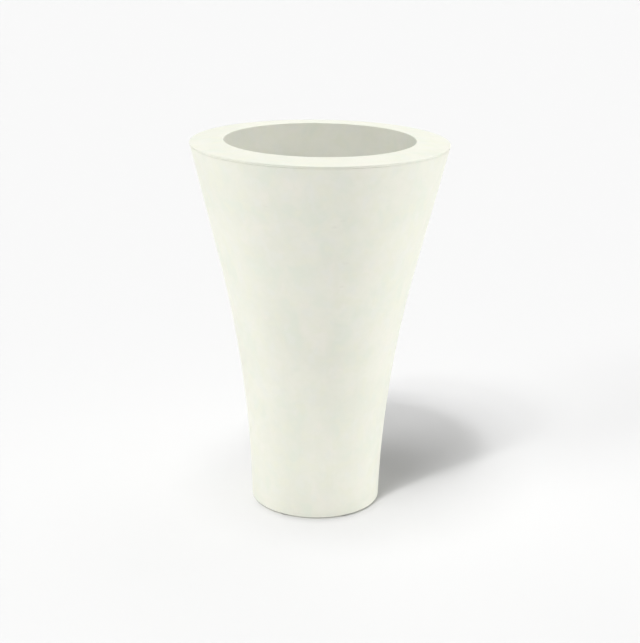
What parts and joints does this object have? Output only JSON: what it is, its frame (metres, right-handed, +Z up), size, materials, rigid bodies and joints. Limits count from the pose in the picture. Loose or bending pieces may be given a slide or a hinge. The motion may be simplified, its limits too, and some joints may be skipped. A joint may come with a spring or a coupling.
{
  "type": "tall planter",
  "caption": "Tall round floor planter: flared shell with a wide sloping rim, lift-out planting liner with folding handles, false floor, pull-up drain stopper and drained base on soft pads.",
  "frame": {"origin": "on the floor, under the centre of the base", "axes": "+Z up along the planter's axis; the two handles are at -X and +X; the picture looks along +Y"},
  "size_m": [0.6094, 0.6094, 0.8999],
  "materials": {
    "shell_white": "matt off-white moulded polyethylene, faintly mottled",
    "liner_grey": "dark grey moulded polyethylene",
    "rubber_black": "matt black rubber",
    "drain_grey": "satin grey plastic",
    "pipe_grey": "light grey plastic pipe",
    "steel_wire": "satin stainless wire",
    "bracket_black": "matt black moulded plastic",
    "rivet_alu": "plain aluminium",
    "grate_grey": "dark grey moulded plastic",
    "stopper_plastic": "pale grey plastic"
  },
  "bodies": {
    "shell": {"outer_shell": "shell_white", "foot_pads": "rubber_black", "liner_seat_ring": "rubber_black", "base_outlet": "drain_grey", "outlet_seal": "rubber_black", "outlet_nut": "drain_grey"},
    "liner": {"planting_liner": "liner_grey", "drain_fitting": "drain_grey", "drain_seal": "rubber_black", "drain_nut": "drain_grey", "drain_pipe": "pipe_grey", "handle_brackets": "bracket_black", "bracket_rivets": "rivet_alu"},
    "left_handle": {"handle_left": "steel_wire"},
    "right_handle": {"handle_right": "steel_wire"},
    "grate": {"drain_grate": "grate_grey", "grate_legs": "grate_grey"},
    "stopper": {"stopper_bung": "rubber_black", "stopper_stem": "stopper_plastic"},
    "pull_ring": {"stopper_ring": "steel_wire"}
  },
  "joints": [
    {"name": "liner_lift", "type": "slide", "parent": "shell", "child": "liner", "axis": [0, 0, 1], "range_m": [0, 0.88]},
    {"name": "left_handle_fold", "type": "hinge", "parent": "liner", "child": "left_handle", "pos_m": [-0.188, 0, 0.777], "axis": [0, -1, 0], "range_deg": [0, 165]},
    {"name": "right_handle_fold", "type": "hinge", "parent": "liner", "child": "right_handle", "pos_m": [0.188, 0, 0.777], "axis": [0, 1, 0], "range_deg": [0, 165]},
    {"name": "grate_lift", "type": "slide", "parent": "liner", "child": "grate", "axis": [0, 0, 1], "range_m": [0, 0.45]},
    {"name": "stopper_lift", "type": "slide", "parent": "liner", "child": "stopper", "axis": [0, 0, 1], "range_m": [0, 0.47]},
    {"name": "ring_fold", "type": "hinge", "parent": "stopper", "child": "pull_ring", "pos_m": [0, 0, 0.5143], "axis": [1, 0, 0], "range_deg": [0, 180]}
  ]
}
